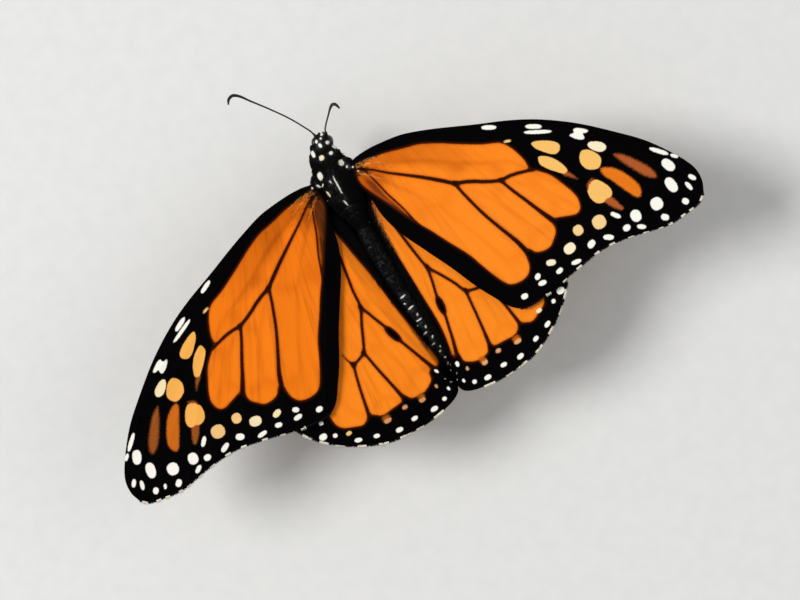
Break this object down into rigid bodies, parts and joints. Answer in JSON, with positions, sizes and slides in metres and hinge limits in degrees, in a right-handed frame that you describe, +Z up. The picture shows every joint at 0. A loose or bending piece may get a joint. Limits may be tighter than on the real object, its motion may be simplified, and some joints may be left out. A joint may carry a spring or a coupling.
{
  "type": "butterfly",
  "caption": "Life-size monarch butterfly at rest with its wings spread flat, standing on four thin legs, one feeler raised.",
  "frame": {"origin": "on the floor, below the centre of the spread wings' extents, at the level of the soles", "axes": "+Z up, +Y towards the head, +X to the butterfly's own right"},
  "size_m": [0.0934, 0.055, 0.0239],
  "materials": {
    "wing_scales": "matte overlapping scales, orange with black veins and borders and white spots",
    "body_cuticle": "black cuticle under short black hair with white dots",
    "limb_cuticle": "black chitin with a soft sheen",
    "eye": "smooth glossy black compound eye"
  },
  "bodies": {
    "root": {"head": "body_cuticle", "eye_left": "eye", "eye_right": "eye", "palp_left": "limb_cuticle", "palp_right": "limb_cuticle", "proboscis": "limb_cuticle", "antenna_left": "limb_cuticle", "antenna_right": "limb_cuticle", "thorax": "body_cuticle", "abdomen": "body_cuticle", "forewing_left": "wing_scales", "forewing_right": "wing_scales", "hindwing_left": "wing_scales", "hindwing_right": "wing_scales", "leg_fore_left": "limb_cuticle", "leg_fore_right": "limb_cuticle", "leg_mid_left": "limb_cuticle", "leg_mid_right": "limb_cuticle", "leg_hind_left": "limb_cuticle", "leg_hind_right": "limb_cuticle"}
  },
  "joints": []
}
